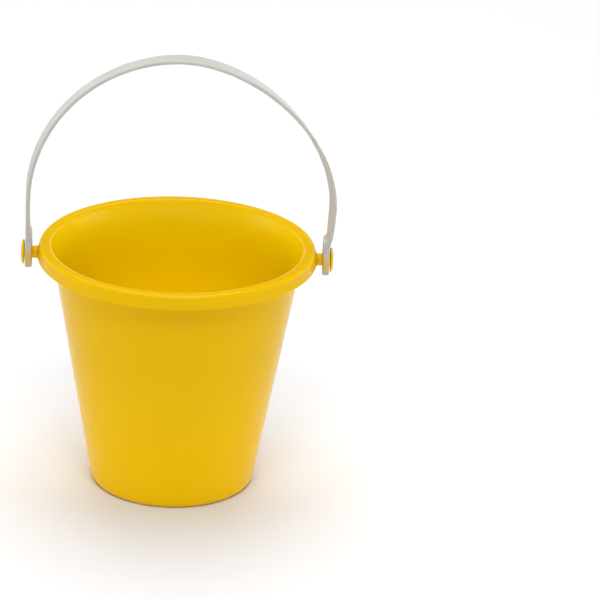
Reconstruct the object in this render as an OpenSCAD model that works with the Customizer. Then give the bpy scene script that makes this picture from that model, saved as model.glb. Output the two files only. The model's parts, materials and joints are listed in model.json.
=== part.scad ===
// Toy sand bucket: a moulded pail and a strap bail that swings on the pail's two side pins.
// Origin at the centre of the foot, +Z up, the pins' axis along X, millimetres.

/* [Pail] */
// Height of the pail, foot to rim
pail_h = 157.3; // [140:0.1:180]
// Outer radius of the rim's top edge
rim_r = 85.5; // [83:0.5:86.5]
// Radius of the outer wall where it meets the rim
wall_top_r = 77; // [72:0.5:77.5]
// Radius of the outer wall carried down to the floor line
wall_foot_r = 51; // [45:0.5:56]
// Wall thickness
wall_t = 1.6; // [1.2:0.1:2.2]
// Thickness of the bottom
floor_t = 2; // [1.5:0.1:3]
// Radius of the rounded edge between wall and foot
foot_fillet = 6.6; // [4:0.2:9]
// Width of the ring that the pail stands on
foot_ring_w = 5; // [3:0.5:8]
// Height of the recess inside the foot ring
foot_recess = 1.4; // [0.8:0.1:2]

/* [Rim] */
// Radius of the mouth, inside the rim
mouth_r = 77.7; // [76:0.1:78]
// Height of the rim's downturned skirt
skirt_h = 8.7; // [7:0.1:11]
// How far the skirt flares outwards at its lower edge
skirt_flare = 1; // [0:0.1:1]
// Thickness of the rim's top and skirt
rim_t = 1.8; // [1.4:0.1:2.4]
// Rounding of the rim's inner edge
mouth_round = 2.4; // [1:0.1:3]
// Rounding of the rim's outer edge
rim_round = 2.4; // [0.8:0.1:3]

/* [Pins] */
// Radius of each side pin
pin_r = 3.75; // [3:0.05:4.2]
// Depth of the pins' axis below the rim's top
pin_drop = 7.5; // [6:0.1:9]
// Radius of each pin's formed head
head_r = 7.7; // [6.5:0.1:8.5]
// Thickness of each head
head_t = 2; // [1.5:0.1:3]

/* [Bail] */
// Width of the strap
strap_w = 13; // [10:0.5:16]
// Thickness of the strap
strap_t = 2.3; // [1.8:0.1:2.8]
// Thickness of the strap where it grows out of the eyes
root_t = 3.4; // [2.8:0.1:3.8]
// Height above the pins at which the strap has thinned down
root_h = 42; // [25:1:60]
// Half of the arch's span, at the strap's middle
arch_half_span = 94; // [93:0.5:96]
// Height of the upright legs above the pins
leg_h = 37; // [25:1:50]
// Rise of the arch above the legs
arch_rise = 90.8; // [70:1:100]
// Sideways set of the crown, because the soft strap leans a little
crown_shift = 4.2; // [0:0.2:6]
// Slope of the crown, as a fraction of the span
crown_slope = 0.071; // [0:0.005:0.1]
// Distance of each eye's middle from the pail's axis
eye_x = 92.2; // [91:0.1:93]
// Outer radius of each eye
eye_r = 9.8; // [9:0.1:11]
// Thickness of each eye
eye_t = 4.1; // [3.6:0.1:4.2]
// Height above the pin of the thickened pad on each leg
pad_h = 15; // [12:1:24]
// Radial clearance between pin and eye
eye_clear = 0.35; // [0.25:0.05:0.5]
// Gap between each eye and the head outside it
eye_end_gap = 0.6; // [0.4:0.1:1]

/* [Hidden] */

facets = 180;           // facets of the large round surfaces
small_facets = 64;      // facets of the pins and eyes
arch_power = 1.064;     // 1 is an ellipse, more draws the shoulders in
arch_steps = 72;        // points along the arch
leg_steps = 8;          // points along each leg
blend = 1;              // size of the bevels where wall and rim meet
head_round_share = 0.6; // rounding of each head, as a share of its thickness
pad_bevel = [0.6, 2];   // inset and height of the steps at the top of each pad
overshoot = 1;          // how far a cut runs past the solid

head_x = eye_x + eye_t / 2 + eye_end_gap;    // inner face of each head
pin_z = pail_h - pin_drop;
skirt_z = pail_h - skirt_h;
skirt_r = rim_r + skirt_flare;
wall_slope = (wall_top_r - wall_foot_r) / skirt_z;
foot_outer_r = wall_foot_r - foot_fillet * (1 - wall_slope);
foot_inner_r = foot_outer_r - foot_ring_w;

// Radius of the outer wall at height z
function wall_r(z) = wall_foot_r + wall_slope * z;

// Points of a round corner about centre c, from angle a0 to a1
function corner(c, r, a0, a1, n = 8) =
    [for (i = [0:n]) let (a = a0 + (a1 - a0) * i / n) c + r * [cos(a), sin(a)]];

// Half-section of the pail's outside: X is the radius, Y the height
module outside_section() {
    under_rim_z = pail_h - rim_t;
    throat_r = mouth_r + rim_t;
    polygon(concat(
        // recess, foot ring, then the rounded edge up to the wall
        [[0, foot_recess], [foot_inner_r - foot_recess, foot_recess], [foot_inner_r, 0]],
        corner([wall_r(foot_fillet) - foot_fillet, foot_fillet], foot_fillet, -90, 0),
        // wall up into the hollow under the rim
        [[wall_r(skirt_z + blend), skirt_z + blend], [throat_r, under_rim_z - blend]],
        [[throat_r + blend, under_rim_z], [rim_r - rim_t, under_rim_z]],
        // skirt, then over the rim's top
        [[skirt_r - rim_t, skirt_z], [skirt_r, skirt_z]],
        corner([rim_r - rim_round, pail_h - rim_round], rim_round, 0, 90),
        [[0, pail_h]]
    ));
}

// Half-section of the space inside the pail
module inside_section() {
    inner_fillet = foot_fillet - wall_t;
    side_r = wall_r(foot_fillet) - wall_t;
    floor_z = foot_recess + floor_t;
    polygon(concat(
        [[0, floor_z]],
        corner([side_r - inner_fillet, floor_z + inner_fillet], inner_fillet, -90, 0),
        [[wall_r(skirt_z - blend) - wall_t, skirt_z - blend]],
        corner([mouth_r + mouth_round, pail_h - mouth_round], mouth_round, 180, 90),
        [[mouth_r + mouth_round, pail_h + overshoot], [0, pail_h + overshoot]]
    ));
}

// One side pin on +X, from the wall out to its rounded head
module side_pin() {
    head_round = head_t * head_round_share;
    pin_start = wall_top_r - 2 * wall_t;
    pin_end = head_x + head_t / 2;
    translate([0, 0, pin_z])
        rotate([0, 90, 0]) {
            translate([0, 0, pin_start])
                cylinder(r = pin_r, h = pin_end - pin_start, $fn = small_facets);
            translate([0, 0, head_x])
                rotate_extrude($fn = small_facets)
                    polygon(concat(
                        [[0, 0], [head_r, 0]],
                        corner([head_r - head_round, head_t - head_round], head_round, 0, 90),
                        [[0, head_t]]
                    ));
        }
}

module pail() {
    color("gold")
        difference() {
            union() {
                rotate_extrude($fn = facets) outside_section();
                side_pin();
                mirror([1, 0, 0]) side_pin();
            }
            rotate_extrude($fn = facets) inside_section();
        }
}

// Leg of the strap's middle line at height z, before the crown's set
function leg_x(z) = eye_x + (arch_half_span - eye_x) * sin(90 * z / leg_h);

// Middle line of the strap from the left pin over the crown to the right pin, before the set
function upright_line() = concat(
    [for (i = [0:leg_steps - 1]) let (z = leg_h * i / leg_steps) [-leg_x(z), z]],
    [for (i = [0:arch_steps]) let (a = 180 - 180 * i / arch_steps)
        [arch_half_span * sign(cos(a)) * pow(abs(cos(a)), arch_power),
         leg_h + arch_rise * pow(sin(a), arch_power)]],
    [for (i = [leg_steps - 1:-1:0]) let (z = leg_h * i / leg_steps) [leg_x(z), z]]
);

// The same line with the crown's sideways set and slope
function set_line(line) = [for (p = line) let (q = p[1] / (leg_h + arch_rise))
    [p[0] + crown_shift * q, p[1] - crown_slope * p[0] * sin(90 * q)]];

// Thickness of the strap at height z
function thickness(z) = strap_t + (root_t - strap_t) * max(0, 1 - z / root_h);

// Line moved by half the strap's thickness, to its left for a side of 1 and its right for -1
function beside(line, side) = [for (i = [0:len(line) - 1])
    let (a = line[max(i - 1, 0)], b = line[min(i + 1, len(line) - 1)], t = (b - a) / norm(b - a))
    line[i] + side * thickness(line[i][1]) / 2 * [-t[1], t[0]]];

function backwards(line) = [for (i = [len(line) - 1:-1:0]) line[i]];

// Thickened pad on the inner side of one leg, in side view
module pad_section(side) {
    inner = eye_x - eye_t / 2;
    outer = eye_x + strap_t / 2;
    section = [
        [inner, 0],
        [outer, 0],
        [leg_x(pad_h), pad_h],
        [inner + pad_bevel[0], pad_h - pad_bevel[1]],
        [inner, pad_h - 2 * pad_bevel[1]]
    ];
    polygon([for (p = section) [side * p[0], p[1]]]);
}

module bail() {
    middle = set_line(upright_line());
    color("whitesmoke")
        translate([0, 0, pin_z])
            difference() {
                union() {
                    rotate([90, 0, 0])
                        linear_extrude(strap_w, center = true)
                            polygon(concat(beside(middle, 1), backwards(beside(middle, -1))));
                    for (side = [-1, 1]) {
                        rotate([90, 0, 0])
                            linear_extrude(strap_w, center = true) pad_section(side);
                        translate([side * eye_x, 0, 0])
                            rotate([0, 90, 0])
                                cylinder(r = eye_r, h = eye_t, center = true, $fn = small_facets);
                    }
                }
                for (side = [-1, 1])
                    translate([side * eye_x, 0, 0])
                        rotate([0, 90, 0])
                            cylinder(r = pin_r + eye_clear, h = eye_t + 2 * overshoot,
                                center = true, $fn = small_facets);
            }
}

pail();
bail();
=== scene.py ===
"""Looks of a toy sand bucket: the moulded pail and its strap bail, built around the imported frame.

Metres throughout. The pail stands on z = 0 with its axis on Z, and the side pins lie along X.
"""
import json
import math

import bmesh
import bpy
from mathutils import Matrix, Vector


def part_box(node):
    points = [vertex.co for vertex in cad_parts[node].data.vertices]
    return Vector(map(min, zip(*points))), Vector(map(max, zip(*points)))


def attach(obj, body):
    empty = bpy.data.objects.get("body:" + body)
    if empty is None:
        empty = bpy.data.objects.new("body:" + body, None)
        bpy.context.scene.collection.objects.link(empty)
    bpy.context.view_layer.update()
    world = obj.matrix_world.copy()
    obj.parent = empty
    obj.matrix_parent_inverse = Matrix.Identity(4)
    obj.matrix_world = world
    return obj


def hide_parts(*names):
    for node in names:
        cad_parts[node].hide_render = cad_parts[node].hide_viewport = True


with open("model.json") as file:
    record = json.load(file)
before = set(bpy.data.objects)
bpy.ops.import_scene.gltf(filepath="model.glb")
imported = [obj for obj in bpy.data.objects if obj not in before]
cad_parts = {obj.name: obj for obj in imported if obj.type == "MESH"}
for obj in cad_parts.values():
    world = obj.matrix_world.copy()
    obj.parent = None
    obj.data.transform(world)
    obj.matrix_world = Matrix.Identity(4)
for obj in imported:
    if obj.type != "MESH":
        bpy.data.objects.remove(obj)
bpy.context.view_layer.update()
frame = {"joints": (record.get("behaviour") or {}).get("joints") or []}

bl_info = {
    "name": "Sand Bucket",
    "version": (1, 0, 0),
    "blender": (4, 5, 0),
    "location": "3D View > Sidebar > Sand Bucket",
    "description": "Builds a moulded toy pail with a swinging strap bail, and its studio",
    "category": "Add Mesh",
}

MM = 0.001
PIN_CENTRE = Vector(frame["joints"][0]["pos_m"])   # the pins' axis runs through it along X
PIN_DROP = 7.5 * MM                                # from the rim's top down to the pins' axis
SKIRT_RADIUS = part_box("pail")[1].y                 # along Y nothing reaches further out


# ---------------------------------------------------------------- sizes and colours

class PailSizes(bpy.types.PropertyGroup):
    """Sizes of the pail."""

    rim_top: bpy.props.FloatProperty(
        name="Rim height", description="Height of the rim's top above the ground",
        default=PIN_CENTRE.z + PIN_DROP, unit="LENGTH", precision=4)
    skirt_radius: bpy.props.FloatProperty(
        name="Skirt radius", description="Radius of the rim's skirt at its lower edge",
        default=SKIRT_RADIUS, unit="LENGTH", precision=4)
    skirt_flare: bpy.props.FloatProperty(
        name="Skirt flare", description="How far the skirt leans outwards from top to bottom",
        default=1.0 * MM, unit="LENGTH", precision=4)
    skirt_height: bpy.props.FloatProperty(
        name="Skirt height", description="Height of the rim's downturned skirt",
        default=8.7 * MM, unit="LENGTH", precision=4)
    rim_thickness: bpy.props.FloatProperty(
        name="Rim thickness", description="Thickness of the rim's top and skirt",
        default=1.8 * MM, unit="LENGTH", precision=4)
    rim_round: bpy.props.FloatProperty(
        name="Rim rounding", description="Radius of the rounded edge outside the rim's top",
        default=2.4 * MM, unit="LENGTH", precision=4)
    mouth_radius: bpy.props.FloatProperty(
        name="Mouth radius", description="Radius of the mouth inside the rim",
        default=77.7 * MM, unit="LENGTH", precision=4)
    mouth_round: bpy.props.FloatProperty(
        name="Mouth rounding", description="Radius of the rounded edge inside the mouth",
        default=2.4 * MM, unit="LENGTH", precision=4)
    wall_top_radius: bpy.props.FloatProperty(
        name="Wall radius at the rim", description="Outer radius of the wall at the skirt's edge",
        default=77.0 * MM, unit="LENGTH", precision=4)
    wall_foot_radius: bpy.props.FloatProperty(
        name="Wall radius at the ground", description="Outer radius of the wall carried down",
        default=51.0 * MM, unit="LENGTH", precision=4)
    wall_thickness: bpy.props.FloatProperty(
        name="Wall thickness", description="Thickness of the moulded wall",
        default=1.6 * MM, unit="LENGTH", precision=4)
    floor_thickness: bpy.props.FloatProperty(
        name="Bottom thickness", description="Thickness of the bottom",
        default=2.0 * MM, unit="LENGTH", precision=4)
    foot_round: bpy.props.FloatProperty(
        name="Foot rounding", description="Radius of the rounded edge between wall and foot",
        default=6.6 * MM, unit="LENGTH", precision=4)
    foot_ring: bpy.props.FloatProperty(
        name="Foot ring", description="Width of the ring that the pail stands on",
        default=5.0 * MM, unit="LENGTH", precision=4)
    foot_recess: bpy.props.FloatProperty(
        name="Foot recess", description="Depth of the recess inside the foot ring",
        default=1.4 * MM, unit="LENGTH", precision=4)
    pin_radius: bpy.props.FloatProperty(
        name="Pin radius", description="Radius of each side pin",
        default=3.75 * MM, unit="LENGTH", precision=4)
    head_radius: bpy.props.FloatProperty(
        name="Head radius", description="Radius of the head formed on each pin",
        default=7.7 * MM, unit="LENGTH", precision=4)
    head_thickness: bpy.props.FloatProperty(
        name="Head thickness", description="Thickness of each head",
        default=2.0 * MM, unit="LENGTH", precision=4)


class BailSizes(bpy.types.PropertyGroup):
    """Sizes of the strap bail."""

    width: bpy.props.FloatProperty(
        name="Strap width", description="Width of the strap",
        default=13.0 * MM, unit="LENGTH", precision=4)
    thickness: bpy.props.FloatProperty(
        name="Strap thickness", description="Thickness of the strap over the arch",
        default=2.3 * MM, unit="LENGTH", precision=4)
    root_thickness: bpy.props.FloatProperty(
        name="Root thickness", description="Thickness of the strap where it leaves the eyes",
        default=3.4 * MM, unit="LENGTH", precision=4)
    root_height: bpy.props.FloatProperty(
        name="Root height", description="Height above the pins at which the strap has thinned",
        default=42.0 * MM, unit="LENGTH", precision=4)
    edge_round: bpy.props.FloatProperty(
        name="Edge rounding", description="Radius of the strap's moulded edges",
        default=0.8 * MM, unit="LENGTH", precision=4)
    half_span: bpy.props.FloatProperty(
        name="Half span", description="Half of the arch's span, at the strap's middle",
        default=94.0 * MM, unit="LENGTH", precision=4)
    leg_height: bpy.props.FloatProperty(
        name="Leg height", description="Height of the upright legs above the pins",
        default=37.0 * MM, unit="LENGTH", precision=4)
    arch_rise: bpy.props.FloatProperty(
        name="Arch rise", description="Rise of the arch above the legs",
        default=90.8 * MM, unit="LENGTH", precision=4)
    crown_shift: bpy.props.FloatProperty(
        name="Crown shift", description="Sideways set that the soft strap has taken",
        default=4.2 * MM, unit="LENGTH", precision=4)
    crown_slope: bpy.props.FloatProperty(
        name="Crown slope", description="Slope of the crown as a fraction of the span",
        default=0.071, subtype="FACTOR", min=0.0, max=0.2)
    twist: bpy.props.FloatProperty(
        name="Twist", description="How far the set strap is twisted at its shoulders",
        default=0.151, subtype="ANGLE")
    twist_offset: bpy.props.FloatProperty(
        name="Twist offset", description="Twist that both shoulders share",
        default=0.055, subtype="ANGLE")
    eye_out: bpy.props.FloatProperty(
        name="Eye distance", description="Distance of each eye's middle from the pail's axis",
        default=92.2 * MM, unit="LENGTH", precision=4)
    eye_radius: bpy.props.FloatProperty(
        name="Eye radius", description="Outer radius of each eye",
        default=9.8 * MM, unit="LENGTH", precision=4)
    eye_bore: bpy.props.FloatProperty(
        name="Eye bore", description="Radius of the hole that turns on the pin",
        default=4.1 * MM, unit="LENGTH", precision=4)
    eye_thickness: bpy.props.FloatProperty(
        name="Eye thickness", description="Thickness of each eye",
        default=4.1 * MM, unit="LENGTH", precision=4)


class Finishes(bpy.types.PropertyGroup):
    """Colours of the plastics and the floor."""

    pail_light: bpy.props.StringProperty(
        name="Pail colour", description="sRGB hex colour of the yellow polypropylene",
        default="#DEB100")
    # painted light: a brighter yellow for the outside towards the foot
    pail_foot_painted_light: bpy.props.StringProperty(
        name="Foot colour", description="sRGB hex colour towards the foot, where the wall is thicker",
        default="#EDBC00")
    # painted light: a brighter yellow for the inside of the pail
    pail_inside_painted_light: bpy.props.StringProperty(
        name="Inside colour", description="sRGB hex colour of the inside, where light soaks through",
        default="#EECA00")
    # painted light: a brighter yellow still for the inside's lower half, where it is in shade
    pail_depths_painted_light: bpy.props.StringProperty(
        name="Depths colour", description="sRGB hex colour of the inside's lower half",
        default="#F6D500")
    pail_deep: bpy.props.StringProperty(
        name="Pail flow colour", description="sRGB hex colour where the pigment flowed thicker",
        default="#DCAE00")
    bail_light: bpy.props.StringProperty(
        name="Bail colour", description="sRGB hex colour of the unpigmented polyethylene",
        default="#B4B4B0")
    bail_deep: bpy.props.StringProperty(
        name="Bail flow colour", description="sRGB hex colour of its denser streaks",
        default="#B0B0AB")
    # painted see-through: a yellow tint for the eyes, where the pins would show through
    bail_painted_see_through: bpy.props.StringProperty(
        name="Eye tint", description="sRGB hex colour of the eyes where the pins show through",
        default="#C8B070")
    floor: bpy.props.StringProperty(
        name="Floor colour", description="sRGB hex colour of the paper under the pail",
        default="#EEEFF2")


class Studio(bpy.types.PropertyGroup):
    """Camera and lights."""

    camera_place: bpy.props.FloatVectorProperty(
        name="Camera place", description="Where the camera stands",
        default=(0.0, -2.11457, 0.98915), subtype="XYZ", unit="LENGTH")
    camera_pan: bpy.props.FloatProperty(
        name="Pan", description="Turn of the camera to the right", default=0.036477,
        subtype="ANGLE")
    camera_tilt: bpy.props.FloatProperty(
        name="Tilt", description="How far the camera looks down", default=0.388850,
        subtype="ANGLE")
    camera_roll: bpy.props.FloatProperty(
        name="Roll", description="Turn of the camera about its line of sight",
        default=0.040993, subtype="ANGLE")
    lens: bpy.props.FloatProperty(
        name="Lens", description="Focal length in millimetres on a 36 mm sensor",
        default=219.92, min=1.0)
    top_power: bpy.props.FloatProperty(
        name="Top light", description="Power of the softbox overhead in watts", default=67.0,
        min=0.0)
    high_power: bpy.props.FloatProperty(
        name="High light", description="Power of the softbox high in front in watts",
        default=33.0, min=0.0)
    fill_power: bpy.props.FloatProperty(
        name="Fill light", description="Power of the low softbox in front in watts",
        default=3.0, min=0.0)
    tent: bpy.props.FloatProperty(
        name="Light tent", description="Strength of the light tent's sides", default=5.4,
        min=0.0)


# ---------------------------------------------------------------- small tools

def to_linear(hex_colour):
    """RGBA in linear light of an sRGB hex colour."""
    values = [int(hex_colour[i:i + 2], 16) / 255 for i in (1, 3, 5)]
    linear = [v / 12.92 if v <= 0.04045 else ((v + 0.055) / 1.055) ** 2.4 for v in values]
    return (*linear, 1.0)


def add_node(tree, kind, inputs=None, **settings):
    """Add a node, set its settings, and give its inputs values or links from other nodes."""
    node = tree.nodes.new(kind)
    for name, value in settings.items():
        setattr(node, name, value)
    for name, value in (inputs or {}).items():
        if isinstance(value, bpy.types.NodeSocket):
            tree.links.new(value, node.inputs[name])
        else:
            node.inputs[name].default_value = value
    return node


def blank_material(name):
    """A material with an empty node tree."""
    material = bpy.data.materials.new(name)
    material.use_nodes = True
    material.node_tree.nodes.clear()
    return material


def ease(value, start, end):
    """0 before start, 1 after end, and smooth between."""
    t = min(1.0, max(0.0, (value - start) / (end - start)))
    return t * t * (3 - 2 * t)


def mix(a, b, share):
    """The value a share of the way from a to b."""
    return a + (b - a) * share


def spread(a, b, steps):
    """Evenly spaced values from a to b, both included."""
    return [mix(a, b, i / steps) for i in range(steps + 1)]


def arc(centre, radius, start, end, steps):
    """Points of a round corner in a section, its angles in degrees."""
    return [(centre[0] + radius * math.cos(math.radians(a)),
             centre[1] + radius * math.sin(math.radians(a)))
            for a in spread(start, end, steps)]


def new_piece(name, mesh_maker, material, sharp_angle):
    """An object whose mesh mesh_maker fills, shaded smooth up to sharp_angle."""
    mesh = bpy.data.meshes.new(name)
    bm = bmesh.new()
    mesh_maker(bm)
    bm.to_mesh(mesh)
    bm.free()
    mesh.materials.append(material)
    piece = bpy.data.objects.new(name, mesh)
    bpy.context.scene.collection.objects.link(piece)
    mesh.shade_smooth()
    mesh.set_sharp_from_angle(angle=sharp_angle)
    return piece


def turn_section(bm, section, turns, place):
    """Turn a section of (radius, along) points into a solid; place puts a point in space.

    The section starts and ends on the axis, and a point on the axis becomes one vertex.
    """
    on_axis = 1e-7
    rings = []
    for radius, along in section:
        if radius < on_axis:
            rings.append([bm.verts.new(place(0.0, 0.0, along))] * turns)
            continue
        ring = []
        for i in range(turns):
            angle = 2 * math.pi * i / turns
            ring.append(bm.verts.new(
                place(radius * math.cos(angle), radius * math.sin(angle), along)))
        rings.append(ring)
    for lower, upper in zip(rings, rings[1:]):
        for i in range(turns):
            j = (i + 1) % turns
            corners = [lower[i], lower[j], upper[j], upper[i]]
            distinct = list(dict.fromkeys(corners))
            if len(distinct) > 2:
                bm.faces.new(distinct)
    bmesh.ops.recalc_face_normals(bm, faces=bm.faces)


# ---------------------------------------------------------------- materials

def moulded_polypropylene(colours):
    """Yellow polypropylene, injection moulded against a polished mould.

    It gives a deep, even yellow, soft highlights and a faint flow of the pigment. Its colour carries
    painted light: brighter inside, brightest low down inside, and brighter outside towards the foot.
    """
    material = blank_material("moulded_polypropylene")
    tree = material.node_tree
    flow_size, polish_size, skin_size = 35 * MM, 6 * MM, 1.4 * MM
    foot_painted_light = (100 * MM, 20 * MM)       # heights where the foot's colour starts and is full
    depths = (125 * MM, 85 * MM)          # the same for the depths' colour inside
    outward = (5 * MM, 20 * MM)           # the same for the outside's, by facing, set out below
    coordinates = add_node(tree, "ShaderNodeTexCoord").outputs
    place = coordinates["Object"]
    flow = add_node(tree, "ShaderNodeTexNoise", {
        "Vector": place, "Scale": 1 / flow_size, "Detail": 2.0, "Roughness": 0.4,
        "Distortion": 0.6})
    upper = add_node(tree, "ShaderNodeMix", {
        "Factor": flow.outputs["Fac"], "A": to_linear(colours.pail_light),
        "B": to_linear(colours.pail_deep)}, data_type="RGBA")
    # painted light: the outside's colour brightens towards the foot, standing in for light on the
    # lower wall
    height = add_node(tree, "ShaderNodeSeparateXYZ", {"Vector": place}).outputs["Z"]
    lower = add_node(tree, "ShaderNodeMapRange", {
        "Value": height, "From Min": foot_painted_light[0], "From Max": foot_painted_light[1]})
    outside = add_node(tree, "ShaderNodeMix", {
        "Factor": lower.outputs["Result"], "A": upper.outputs["Result"],
        "B": to_linear(colours.pail_foot_painted_light)}, data_type="RGBA")
    # the surface faces away from the foot's centre on the outside, and towards it inside
    facing = add_node(tree, "ShaderNodeVectorMath", {
        0: place, 1: coordinates["Normal"]}, operation="DOT_PRODUCT")
    is_outside = add_node(tree, "ShaderNodeMapRange", {
        "Value": facing.outputs["Value"], "From Min": outward[0], "From Max": outward[1]})
    # painted light: the inside's colour is brighter than the outside's, and brightest low down, where
    # the inside is in shade
    depth = add_node(tree, "ShaderNodeMapRange", {
        "Value": height, "From Min": depths[0], "From Max": depths[1]})
    inside = add_node(tree, "ShaderNodeMix", {
        "Factor": depth.outputs["Result"], "A": to_linear(colours.pail_inside_painted_light),
        "B": to_linear(colours.pail_depths_painted_light)}, data_type="RGBA")
    colour = add_node(tree, "ShaderNodeMix", {
        "Factor": is_outside.outputs["Result"], "A": inside.outputs["Result"],
        "B": outside.outputs["Result"]}, data_type="RGBA")
    polish = add_node(tree, "ShaderNodeTexNoise", {
        "Vector": place, "Scale": 1 / polish_size, "Detail": 3.0})
    roughness = add_node(tree, "ShaderNodeMapRange", {
        "Value": polish.outputs["Fac"], "From Min": 0.3, "From Max": 0.7,
        "To Min": 0.20, "To Max": 0.23})
    skin = add_node(tree, "ShaderNodeTexNoise", {
        "Vector": place, "Scale": 1 / skin_size, "Detail": 2.0})
    bump = add_node(tree, "ShaderNodeBump", {
        "Height": skin.outputs["Fac"], "Strength": 0.05, "Distance": 0.005 * MM})
    shader = add_node(tree, "ShaderNodeBsdfPrincipled", {
        "Base Color": colour.outputs["Result"], "Roughness": roughness.outputs["Result"],
        "Normal": bump.outputs["Normal"], "IOR": 1.49, "Specular IOR Level": 0.08})
    add_node(tree, "ShaderNodeOutputMaterial", {"Surface": shader.outputs["BSDF"]})
    return material


def milky_polyethylene(colours):
    """Unpigmented low-density polyethylene, moulded with a satin skin.

    It gives a milky grey-white whose edges and thick places glow, and a painted yellow tint at
    the pins' height, where the pins would show through.
    """
    material = blank_material("milky_polyethylene")
    tree = material.node_tree
    streak_size, grain_size = 9 * MM, 0.6 * MM
    tint_edge, tint_full = 7 * MM, 3 * MM   # distances from the pin's height
    place = add_node(tree, "ShaderNodeTexCoord").outputs["Object"]
    streaks = add_node(tree, "ShaderNodeTexNoise", {
        "Vector": place, "Scale": 1 / streak_size, "Detail": 3.0, "Distortion": 1.2})
    plain = add_node(tree, "ShaderNodeMix", {
        "Factor": streaks.outputs["Fac"], "A": to_linear(colours.bail_light),
        "B": to_linear(colours.bail_deep)}, data_type="RGBA")
    # painted see-through: a yellow tint at the pin's height, where the pin would show through the
    # milky eye
    height = add_node(tree, "ShaderNodeSeparateXYZ", {"Vector": place}).outputs["Z"]
    above, below = [add_node(tree, "ShaderNodeMapRange", {
        "Value": height, "From Min": PIN_CENTRE.z + side * tint_edge,
        "From Max": PIN_CENTRE.z + side * tint_full}) for side in (1, -1)]
    by_pin = add_node(tree, "ShaderNodeMath", {
        0: above.outputs["Result"], 1: below.outputs["Result"]}, operation="MULTIPLY")
    colour = add_node(tree, "ShaderNodeMix", {
        "Factor": by_pin.outputs["Value"], "A": plain.outputs["Result"],
        "B": to_linear(colours.bail_painted_see_through)}, data_type="RGBA")
    grain = add_node(tree, "ShaderNodeTexNoise", {
        "Vector": place, "Scale": 1 / grain_size, "Detail": 2.0})
    bump = add_node(tree, "ShaderNodeBump", {
        "Height": grain.outputs["Fac"], "Strength": 0.25, "Distance": 0.02 * MM})
    roughness = add_node(tree, "ShaderNodeMapRange", {
        "Value": streaks.outputs["Fac"], "From Min": 0.3, "From Max": 0.7,
        "To Min": 0.48, "To Max": 0.55})
    shader = add_node(tree, "ShaderNodeBsdfPrincipled", {
        "Base Color": colour.outputs["Result"], "Roughness": roughness.outputs["Result"],
        "Normal": bump.outputs["Normal"], "IOR": 1.51, "Specular IOR Level": 0.2,
        "Subsurface Weight": 0.8,
        "Subsurface Radius": (1.0, 0.92, 0.8), "Subsurface Scale": 3 * MM})
    add_node(tree, "ShaderNodeOutputMaterial", {"Surface": shader.outputs["BSDF"]})
    return material


def seamless_paper(colours):
    """Matt white background paper: no gloss, and the faintest fibre mottle."""
    material = blank_material("seamless_paper")
    tree = material.node_tree
    fibre_size = 2 * MM
    place = add_node(tree, "ShaderNodeTexCoord").outputs["Object"]
    fibres = add_node(tree, "ShaderNodeTexNoise", {
        "Vector": place, "Scale": 1 / fibre_size, "Detail": 4.0})
    bump = add_node(tree, "ShaderNodeBump", {
        "Height": fibres.outputs["Fac"], "Strength": 0.1, "Distance": 0.05 * MM})
    shader = add_node(tree, "ShaderNodeBsdfPrincipled", {
        "Base Color": to_linear(colours.floor), "Roughness": 0.9,
        "Normal": bump.outputs["Normal"], "Specular IOR Level": 0.1})
    add_node(tree, "ShaderNodeOutputMaterial", {"Surface": shader.outputs["BSDF"]})
    return material


# ---------------------------------------------------------------- pail

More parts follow.
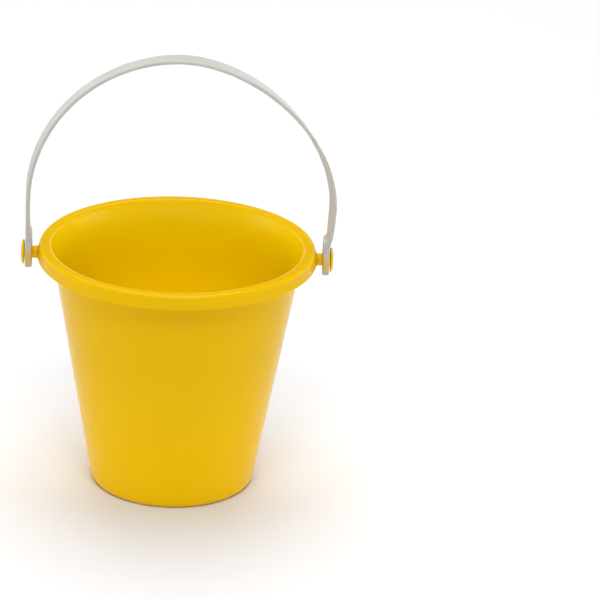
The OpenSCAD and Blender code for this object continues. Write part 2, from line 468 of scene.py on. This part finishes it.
class PailShape:
    """The pail's half-section, as (radius, height) points from the bottom's middle and round."""

    def __init__(self, sizes):
        self.sizes = sizes
        self.top = sizes.rim_top
        self.skirt_z = self.top - sizes.skirt_height
        self.slope = (sizes.wall_top_radius - sizes.wall_foot_radius) / self.skirt_z
        self.foot_side = self.wall_r(sizes.foot_round)
        self.foot_outer = self.foot_side - sizes.foot_round
        self.blend = 1.0 * MM       # wall and rim meet this far from the skirt's lower edge

    def wall_r(self, z):
        """Radius of the wall's outside at height z."""
        return self.sizes.wall_foot_radius + self.slope * z

    def skirt_r(self, z):
        """Radius of the skirt's outside at height z."""
        share = (z - self.skirt_z) / (self.top - self.skirt_z)
        return self.sizes.skirt_radius - self.sizes.skirt_flare * share

    def underside(self):
        """The stub of the gate, the recess, and the inner edge of the foot ring."""
        recess = self.sizes.foot_recess
        gate_r, gate_drop = 1.3 * MM, 0.5 * MM   # where the plastic entered the mould
        gate_round = 0.3 * MM
        flat_start = 6 * MM
        ring_round = 0.6 * MM
        ring_inner = self.foot_outer - self.sizes.foot_ring
        gate_z = recess - gate_drop
        points = [(0.0, gate_z), (gate_r - gate_round, gate_z)]
        points += arc((gate_r - gate_round, gate_z + gate_round), gate_round, -80, 0, 3)
        points += [(gate_r, recess)]
        points += [(r, recess) for r in spread(flat_start, ring_inner - 2 * recess, 4)]
        points += arc((ring_inner - recess, recess - ring_round), ring_round, 90, 45, 3)
        points += arc((ring_inner + 0.2 * MM, ring_round), ring_round, 225, 270, 3)
        return points

    def outside(self):
        """The rounded edge of the foot, then the wall up to the rim."""
        power = 2.8                                 # 2 would be a circle's arc; more is fuller
        steps = 16
        corner_z = self.sizes.foot_round * 0.9
        points = []
        for i in range(1, steps + 1):
            a = math.pi / 2 * i / steps
            inset = 1 - math.sin(a) ** (2 / power)
            z = corner_z * (1 - math.cos(a) ** (2 / power))
            points.append(
                (self.wall_r(z) - inset * (self.sizes.wall_foot_radius - self.foot_outer), z))
        heights = spread(corner_z, self.skirt_z + self.blend, 24)
        return points + [(self.wall_r(z), z) for z in heights[1:]]

    def rim(self):
        """The hollow under the rim, both faces of the skirt, and the rim's outer edge."""
        thick = self.sizes.rim_thickness
        under = self.top - thick
        throat = self.sizes.mouth_radius + thick
        hollow_round = 1.0 * MM
        lip = 0.45 * MM                             # rounding of the skirt's lower edge
        lip_z = self.skirt_z + lip
        edge = self.sizes.skirt_radius - lip
        round_z = self.top - self.sizes.rim_round
        lean = math.degrees(math.atan(self.sizes.skirt_flare / self.sizes.skirt_height))
        # hollow, from the wall to the skirt's inner face
        points = [(throat, under - 1.2 * MM), (throat + 0.4 * MM, under - 0.3 * MM),
                  (throat + 1.2 * MM, under)]
        hollow_r = self.skirt_r(under) - thick - hollow_round
        points += arc((hollow_r, under - hollow_round), hollow_round, 90, 8, 4)
        # skirt, round its lower edge and up its outer face
        points += [(self.skirt_r(self.skirt_z) - thick, lip_z)]
        points += arc((edge - thick + 2 * lip, lip_z), lip, 180, 270, 3)
        points += arc((edge, lip_z), lip, 270, 360, 5)
        points += [(self.skirt_r(z), z) for z in spread(lip_z, round_z, 6)[1:-1]]
        points += arc((self.skirt_r(round_z) - self.sizes.rim_round, round_z),
                      self.sizes.rim_round, lean, 90, 12)
        return points

    def inside(self):
        """The mouth's edge, the wall's inside, and the bottom to its middle."""
        sizes = self.sizes
        floor_z = sizes.foot_recess + sizes.floor_thickness
        inner_round = sizes.foot_round - sizes.wall_thickness
        corner_r = self.foot_side - sizes.wall_thickness - inner_round
        points = arc((sizes.mouth_radius + sizes.mouth_round, self.top - sizes.mouth_round),
                     sizes.mouth_round, 90, 180, 12)
        heights = spread(self.skirt_z - self.blend, floor_z + inner_round * 1.1, 24)
        points += [(self.wall_r(z) - sizes.wall_thickness, z) for z in heights]
        points += arc((corner_r, floor_z + inner_round), inner_round, -8, -90, 10)
        points += [(r, floor_z) for r in spread(corner_r, 0.0, 5)[1:]]
        return points

    def section(self):
        """The whole half-section."""
        return self.underside() + self.outside() + self.rim() + self.inside()


def pin_section(sizes, eye):
    """Section of one side pin: (radius, distance from the pail's axis), root to head."""
    skirt_face = sizes.skirt_radius - sizes.skirt_flare * 0.2   # skirt's outside at the pin
    fillet = 1.0 * MM              # where the pin grows out of the skirt
    flare_in, flare_full = 2.2 * MM, 0.5 * MM   # depths in the skirt between which it widens
    corner = 0.3 * MM              # between the pin and the head
    head_gap = 0.6 * MM            # between the eye and the head
    edge_in, edge_up = 0.4 * MM, 0.12 * MM      # bevel round the head's inner face
    dome_rise = 0.45 * MM          # where the head's rounded face starts
    power = 2.6                    # 2 would be an ellipse; more keeps the head's face flatter
    steps = 14
    head_in = eye.eye_out + eye.eye_thickness / 2 + head_gap
    head_out = head_in + sizes.head_thickness
    section = [
        (0.0, 0.0),
        (sizes.pin_radius, 0.0),
        (sizes.pin_radius, skirt_face - flare_in),
        (sizes.pin_radius + fillet, skirt_face - flare_full),
    ]
    section += [(r, x) for x, r in arc(
        (skirt_face + fillet, sizes.pin_radius + fillet), fillet, 180, 270, 6)]
    section += [
        (sizes.pin_radius, head_in - corner),
        (sizes.pin_radius + corner, head_in),
        (sizes.head_radius - edge_in, head_in),
        (sizes.head_radius - edge_in / 4, head_in + edge_up),
    ]
    for i in range(steps):
        a = math.pi / 2 * i / steps
        section.append((sizes.head_radius * math.cos(a) ** (2 / power),
                        mix(head_in + dome_rise, head_out, math.sin(a) ** (2 / power))))
    return section + [(0.0, head_out)]


def add_pin(bm, sizes, eye, side):
    """One side pin as a closed solid, its root sunk in the leaning wall."""
    root_x = 76.75 * MM            # middle of the wall at the pin's height
    root_lean = 0.333              # slope of the wall there

    def place(across, up, out):
        x = out if out > 0 else root_x + root_lean * up
        return Vector((side * x, across, PIN_CENTRE.z + up))

    turn_section(bm, pin_section(sizes, eye), 72, place)


def build_pail(settings):
    """The pail's turned shell with both side pins joined to it."""
    sizes, eye = settings.pail, settings.bail
    material = moulded_polypropylene(settings.finishes)
    sharp = math.radians(38)

    def shell(bm):
        turn_section(bm, PailShape(sizes).section(), 288, lambda x, y, z: Vector((x, y, z)))

    pail = new_piece("pail_shell", shell, material, sharp)
    for side in (-1, 1):
        pin = new_piece("pin", lambda bm: add_pin(bm, sizes, eye, side), material, sharp)
        join = pail.modifiers.new("pin", "BOOLEAN")
        join.operation, join.solver, join.object = "UNION", "EXACT", pin
        bpy.context.view_layer.objects.active = pail
        bpy.ops.object.modifier_apply(modifier=join.name)
        bpy.data.objects.remove(pin)
    pail.data.shade_smooth()
    pail.data.set_sharp_from_angle(angle=sharp)
    pail.modifiers.new("even_shading", "WEIGHTED_NORMAL").keep_sharp = True
    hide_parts("pail")
    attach(pail, "pail")


# ---------------------------------------------------------------- bail

class StrapLine:
    """The strap's middle line, from the left pin over the crown to the right pin.

    A place on it is u, the length along it from the left pin. Below the pins it runs on
    straight down, for the lower halves of the eyes. The stretches below are heights above the
    pins, or lengths along the strap from them, between which one shape eases into the next.
    """

    eye_to_arch = (4 * MM, 16 * MM)       # the line leaves the eye's and follows the set arch
    twist_grows = (8 * MM, 24 * MM)
    outer_thins = (8 * MM, 17 * MM)       # eye to strap on the outer face
    inner_thins = (12 * MM, 15.5 * MM)    # the pad's end on the inner face

    def __init__(self, sizes):
        self.sizes = sizes
        self.full_height = sizes.leg_height + sizes.arch_rise
        self.points = self.make_points()
        self.lengths = [0.0]
        for a, b in zip(self.points, self.points[1:]):
            self.lengths.append(self.lengths[-1] + math.dist(a, b))
        self.length = self.lengths[-1]

    def make_points(self, leg_steps=60, arch_steps=720, power=1.064):
        """Points (x, height above the pins). The power over 1 draws the arch's shoulders in."""
        s = self.sizes
        upright = []
        for i in range(leg_steps):
            z = s.leg_height * i / leg_steps
            out = s.eye_out + (s.half_span - s.eye_out) * math.sin(math.pi / 2 * i / leg_steps)
            upright.append((out, z))
        arch = []
        for i in range(arch_steps + 1):
            a = math.pi * (1 - i / arch_steps)
            x = math.copysign(abs(math.cos(a)) ** power, math.cos(a))
            arch.append((s.half_span * x, s.leg_height + s.arch_rise * math.sin(a) ** power))
        line = [(-x, z) for x, z in upright] + arch + upright[::-1]
        return [self.set_point(x, z) for x, z in line]

    def set_point(self, x, z):
        """Give a point the crown's shift and slope, and hold the line straight at the eyes."""
        s = self.sizes
        share = z / self.full_height
        moved_x = x + s.crown_shift * share
        moved_z = z - s.crown_slope * x * math.sin(math.pi / 2 * share)
        eye_x = math.copysign(s.eye_out, x)
        return mix(eye_x, moved_x, ease(z, *self.eye_to_arch)), moved_z

    def at(self, u):
        """Point and direction at u."""
        if u <= 0:
            return Vector((self.points[0][0], u)), Vector((0, 1))
        if u >= self.length:
            return Vector((self.points[-1][0], self.length - u)), Vector((0, -1))
        low, high = 0, len(self.lengths) - 1
        while high - low > 1:
            middle = (low + high) // 2
            if self.lengths[middle] <= u:
                low = middle
            else:
                high = middle
        a, b = Vector(self.points[low]), Vector(self.points[high])
        share = (u - self.lengths[low]) / (self.lengths[high] - self.lengths[low])
        before = Vector(self.points[max(low - 2, 0)])
        after = Vector(self.points[min(high + 2, len(self.points) - 1)])
        return a.lerp(b, share), (after - before).normalized()

    def above_pin(self, u):
        """Length of strap between u and the nearer pin; negative below the pin."""
        return min(u, self.length - u)

    def place(self, u, across, depth):
        """Point in space; across is along +Y and depth outwards from the arch.

        The twist is strongest at half height. Its turns are opposite on the two sides, apart
        from the offset that they share.
        """
        s = self.sizes
        point, along = self.at(u)
        outwards = Vector((-along.y, along.x))
        height = max(0.0, point.y)
        turn = ((s.twist * point.x / SKIRT_RADIUS + s.twist_offset)
                * math.sin(math.pi * height / self.full_height)
                * ease(self.above_pin(u), *self.twist_grows))
        flat = depth * math.cos(turn) - across * math.sin(turn)
        y = across * math.cos(turn) + depth * math.sin(turn)
        moved = point + outwards * flat
        return Vector((moved.x, y, PIN_CENTRE.z + moved.y))

    def faces(self, u):
        """Depths of the outer and inner faces at u, both positive."""
        s = self.sizes
        x = abs(self.at(u)[0].x)
        up = self.above_pin(u)
        root_share = max(0.0, 1 - max(up, 0.0) / s.root_height)
        half = mix(s.thickness, s.root_thickness, root_share) / 2
        eye_outer = s.eye_out + s.eye_thickness / 2 - x
        eye_inner = x - s.eye_out + s.eye_thickness / 2
        return (mix(eye_outer, half, ease(up, *self.outer_thins)),
                mix(eye_inner, half, ease(up, *self.inner_thins)))


def edge_rounding(outer, inner, radius, steps=4):
    """Points (inset from the edge, depth) round a moulded edge, from outer face to inner."""
    quarter = [(radius * (1 - math.sin(a)), radius * (1 - math.cos(a)))
               for a in spread(0.0, math.pi / 2, steps)]
    return ([(inset, outer - drop) for inset, drop in quarter]
            + [(inset, drop - inner) for inset, drop in reversed(quarter)])


def eye_outline(sizes, cut):
    """Outline of one eye from the strap's +Y side round the bottom to its -Y side.

    Each point is ((height above the pin, across), (outward normal)).
    """
    half, radius = sizes.width / 2, sizes.eye_radius
    fillet = 6 * MM                # hollow round between the strap's side and the eye
    centre_y = half + fillet
    centre_s = math.sqrt((radius + fillet) ** 2 - centre_y ** 2)
    meet = math.atan2(centre_y, centre_s)
    side = [((cut, half), (0.0, 1.0))]
    for a in spread(-math.pi / 2, meet - math.pi, 5):
        point = (centre_s + fillet * math.cos(a), centre_y + fillet * math.sin(a))
        side.append((point, (-math.cos(a), -math.sin(a))))
    round_end = []
    for a in spread(meet, 2 * math.pi - meet, 36)[1:-1]:
        round_end.append(((radius * math.cos(a), radius * math.sin(a)),
                          (math.cos(a), math.sin(a))))
    other = [((s, -y), (ns, -ny)) for (s, y), (ns, ny) in reversed(side)]
    return side + round_end + other


def add_grid(bm, rows, closed=False):
    """Faces between rows of points of the same length."""
    made = [[bm.verts.new(p) for p in row] for row in rows]
    for lower, upper in zip(made, made[1:]):
        count = len(lower)
        for i in range(count if closed else count - 1):
            j = (i + 1) % count
            bm.faces.new((lower[i], lower[j], upper[j], upper[i]))


def add_eye(bm, line, sizes, cut, across_points, from_left):
    """One eye with its bore, up to the cut where the strap begins."""
    bore_round = 0.3 * MM

    def place(s, y, depth):
        return line.place(s if from_left else line.length - s, y, depth)

    def depths(s):
        return line.faces(s if from_left else line.length - s)

    outline = eye_outline(sizes, cut)
    # moulded edge round the eye
    rows = []
    for (s, y), (ns, ny) in outline:
        outer, inner = depths(s)
        rows.append([place(s - ns * inset, y - ny * inset, depth) for inset, depth
                     in edge_rounding(outer, inner, sizes.edge_round)])
    add_grid(bm, rows)
    # both faces, in rings from the bore to the outline
    rim = [(s - ns * sizes.edge_round, y - ny * sizes.edge_round)
           for (s, y), (ns, ny) in outline]
    rim += [(cut, y) for y in across_points[1:-1]]
    bore = sizes.eye_bore + bore_round
    directions = [(s / math.hypot(s, y), y / math.hypot(s, y)) for s, y in rim]
    for face, sign in ((0, 1), (1, -1)):
        rings = []
        for share in spread(0.0, 1.0, 6):
            ring = [(mix(bore * ds, s, share), mix(bore * dy, y, share))
                    for (ds, dy), (s, y) in zip(directions, rim)]
            rings.append([place(s, y, sign * depths(s)[face]) for s, y in ring])
        add_grid(bm, rings, closed=True)
    # the bore, with its edges just broken
    outer, inner = depths(0.0)
    broken = [(bore, 0.0), (bore - bore_round * 0.7, bore_round * 0.3),
              (sizes.eye_bore, bore_round)]
    profile = [(radius, outer - drop) for radius, drop in broken]
    profile += [(sizes.eye_bore, 0.0)]
    profile += [(radius, drop - inner) for radius, drop in reversed(broken)]
    add_grid(bm, [[place(radius * ds, radius * dy, depth) for ds, dy in directions]
                  for radius, depth in profile], closed=True)


def add_strap(bm, line, sizes, cut, across_points):
    """The strap between the two eyes, as rings of its rounded section."""
    half = sizes.width / 2
    fine = spread(cut, cut + 7.5 * MM, 15)     # close rings where the thickness changes fast
    coarse = spread(fine[-1], line.length - fine[-1], 180)[1:-1]
    places = fine + coarse + [line.length - u for u in reversed(fine)]
    rings = []
    for u in places:
        outer, inner = line.faces(u)
        edge = edge_rounding(outer, inner, sizes.edge_round)
        section = [(y, outer) for y in across_points]
        section += [(half - inset, depth) for inset, depth in edge[1:]]
        section += [(y, -inner) for y in reversed(across_points[:-1])]
        section += [(inset - half, depth) for inset, depth in reversed(edge[1:-1])]
        rings.append([line.place(u, y, depth) for y, depth in section])
    add_grid(bm, rings, closed=True)


def build_bail(settings):
    """The strap with an eye at each end."""
    sizes = settings.bail
    line = StrapLine(sizes)
    cut = 11 * MM                  # eyes end and the strap begins this far above the pins
    weld = 0.002 * MM
    flat_half = sizes.width / 2 - sizes.edge_round
    across_points = spread(-flat_half, flat_half, 8)

    def strap_bail(bm):
        add_eye(bm, line, sizes, cut, across_points, from_left=True)
        add_eye(bm, line, sizes, cut, across_points, from_left=False)
        add_strap(bm, line, sizes, cut, across_points)
        bmesh.ops.remove_doubles(bm, verts=bm.verts, dist=weld)
        bmesh.ops.recalc_face_normals(bm, faces=bm.faces)

    material = milky_polyethylene(settings.finishes)
    bail = new_piece("bail_strap", strap_bail, material, math.radians(50))
    bail.modifiers.new("even_shading", "WEIGHTED_NORMAL").keep_sharp = True
    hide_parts("bail")
    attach(bail, "bail")


# ---------------------------------------------------------------- studio

def add_light(name, place, aim, size, power):
    """A rectangular white softbox at place, turned towards aim."""
    light = bpy.data.lights.new(name, "AREA")
    light.shape = "RECTANGLE"
    light.size, light.size_y = size
    light.energy = power
    lamp = bpy.data.objects.new(name, light)
    lamp.location = place
    lamp.rotation_euler = (Vector(aim) - Vector(place)).to_track_quat("-Z", "Y").to_euler()
    bpy.context.scene.collection.objects.link(lamp)


def add_camera(studio):
    """The camera, from its pan, tilt and roll."""
    pan, tilt, roll = studio.camera_pan, studio.camera_tilt, studio.camera_roll
    forward = Vector((math.sin(pan) * math.cos(tilt), math.cos(pan) * math.cos(tilt),
                      -math.sin(tilt)))
    level = Vector((math.cos(pan), -math.sin(pan), 0.0))
    upright = level.cross(forward)
    right = level * math.cos(roll) + upright * math.sin(roll)
    up = upright * math.cos(roll) - level * math.sin(roll)
    data = bpy.data.cameras.new("camera")
    data.lens, data.sensor_width = studio.lens, 36.0
    camera = bpy.data.objects.new("camera", data)
    camera.matrix_world = Matrix.Translation(Vector(studio.camera_place)) @ Matrix(
        (right, up, -forward)).transposed().to_4x4()
    bpy.context.scene.collection.objects.link(camera)
    bpy.context.scene.camera = camera


def add_room(studio):
    """A light tent: white to look at, and bright in a low band on the pail's two sides.

    The band is dimmed behind the pail, and low down in front, where the tent opens. A direction's
    Y runs from -1 in front to 1 behind, and its Z from 0 at the floor to 1 overhead.
    """
    world = bpy.data.worlds.new("room")
    world.use_nodes = True
    tree = world.node_tree
    tree.nodes.clear()
    seen = add_node(tree, "ShaderNodeBackground", {"Color": (1, 1, 1, 1), "Strength": 1.0})
    direction = add_node(tree, "ShaderNodeTexCoord").outputs["Generated"]
    parts = add_node(tree, "ShaderNodeSeparateXYZ", {"Vector": direction})
    in_front = add_node(tree, "ShaderNodeMapRange", {
        "Value": parts.outputs["Y"], "From Min": -0.2, "From Max": -0.6})
    low_down = add_node(tree, "ShaderNodeMapRange", {
        "Value": parts.outputs["Z"], "From Min": 0.30, "From Max": 0.10})
    opening = add_node(tree, "ShaderNodeMath", {
        0: in_front.outputs["Result"], 1: low_down.outputs["Result"]}, operation="MULTIPLY")
    behind = add_node(tree, "ShaderNodeMapRange", {
        "Value": parts.outputs["Y"], "From Min": 0.3, "From Max": 0.8, "To Max": 0.8})
    dim = add_node(tree, "ShaderNodeMath", {
        0: opening.outputs["Value"], 1: behind.outputs["Result"]}, operation="MAXIMUM")
    tent = add_node(tree, "ShaderNodeMapRange", {
        "Value": parts.outputs["Z"], "From Min": 0.05, "From Max": 0.36,
        "To Min": studio.tent, "To Max": 0.0}, interpolation_type="SMOOTHSTEP")
    share = add_node(tree, "ShaderNodeMapRange", {
        "Value": dim.outputs["Value"], "To Min": 1.0, "To Max": 0.1})
    strength = add_node(tree, "ShaderNodeMath", {
        0: tent.outputs["Result"], 1: share.outputs["Result"]}, operation="MULTIPLY")
    felt = add_node(tree, "ShaderNodeBackground", {
        "Color": (1, 1, 1, 1), "Strength": strength.outputs["Value"]})
    path = add_node(tree, "ShaderNodeLightPath")
    both = add_node(tree, "ShaderNodeMixShader", {
        0: path.outputs["Is Camera Ray"], 1: felt.outputs["Background"],
        2: seen.outputs["Background"]})
    add_node(tree, "ShaderNodeOutputWorld", {"Surface": both.outputs["Shader"]})
    bpy.context.scene.world = world


def build_stage(settings):
    """The paper floor, three softboxes, the camera and the light tent."""
    studio = settings.studio
    half = 3.0                     # half of the paper's side

    def paper(bm):
        corners = [(-half, -half), (half, -half), (half, half), (-half, half)]
        bm.faces.new([bm.verts.new((x, y, 0.0)) for x, y in corners])

    floor = new_piece("floor", paper, seamless_paper(settings.finishes), math.radians(30))
    middle = (0.0, 0.0, 0.1)       # about the middle of the pail
    add_light("top", place=(0.0, 0.9, 2.4), aim=(0.0, 0.9, 0.0), size=(2.0, 3.0),
              power=studio.top_power)
    add_light("high", place=(0.0, -1.6, 2.2), aim=middle, size=(1.6, 1.0),
              power=studio.high_power)
    add_light("fill", place=(0.0, -2.4, 0.3), aim=middle, size=(2.4, 0.5),
              power=studio.fill_power)
    add_camera(studio)
    add_room(studio)
    bpy.context.scene.view_settings.view_transform = "Standard"


# ---------------------------------------------------------------- add-on

class SANDBUCKET_PG_settings(bpy.types.PropertyGroup):
    """All settings of the sand bucket."""

    pail: bpy.props.PointerProperty(
        type=PailSizes, name="Pail", description="Sizes of the pail")
    bail: bpy.props.PointerProperty(
        type=BailSizes, name="Bail", description="Sizes of the strap bail")
    finishes: bpy.props.PointerProperty(
        type=Finishes, name="Finishes", description="Colours of the materials")
    studio: bpy.props.PointerProperty(
        type=Studio, name="Studio", description="Camera and lights")


class SANDBUCKET_OT_pail(bpy.types.Operator):
    """Build the moulded pail with its rim, foot and side pins"""

    bl_idname = "sandbucket.make_pail"
    bl_label = "Make Pail"

    def execute(self, context):
        build_pail(context.scene.sandbucket)
        return {"FINISHED"}


class SANDBUCKET_OT_bail(bpy.types.Operator):
    """Build the strap bail with its two eyes"""

    bl_idname = "sandbucket.make_bail"
    bl_label = "Make Bail"

    def execute(self, context):
        build_bail(context.scene.sandbucket)
        return {"FINISHED"}


class SANDBUCKET_OT_stage(bpy.types.Operator):
    """Build the floor, the lights and the camera"""

    bl_idname = "sandbucket.make_stage"
    bl_label = "Make Stage"

    def execute(self, context):
        build_stage(context.scene.sandbucket)
        return {"FINISHED"}


class SANDBUCKET_PT_panel(bpy.types.Panel):
    """Lists the steps and their settings"""

    bl_idname = "SANDBUCKET_PT_panel"
    bl_label = "Sand Bucket"
    bl_space_type = "VIEW_3D"
    bl_region_type = "UI"
    bl_category = "Sand Bucket"

    def draw(self, context):
        settings = context.scene.sandbucket
        for step, group in ((SANDBUCKET_OT_pail, settings.pail),
                            (SANDBUCKET_OT_bail, settings.bail),
                            (SANDBUCKET_OT_stage, settings.studio)):
            box = self.layout.box()
            box.operator(step.bl_idname)
            for name in group.__annotations__:
                box.prop(group, name)
        for name in settings.finishes.__annotations__:
            self.layout.prop(settings.finishes, name)


CLASSES = (PailSizes, BailSizes, Finishes, Studio, SANDBUCKET_PG_settings,
           SANDBUCKET_OT_pail, SANDBUCKET_OT_bail, SANDBUCKET_OT_stage,
           SANDBUCKET_PT_panel)


def register():
    for cls in CLASSES:
        bpy.utils.register_class(cls)
    bpy.types.Scene.sandbucket = bpy.props.PointerProperty(type=SANDBUCKET_PG_settings)


def unregister():
    del bpy.types.Scene.sandbucket
    for cls in reversed(CLASSES):
        bpy.utils.unregister_class(cls)


def main():
    register()
    bpy.ops.sandbucket.make_stage()
    bpy.ops.sandbucket.make_pail()
    bpy.ops.sandbucket.make_bail()


if __name__ == "__main__":
    main()
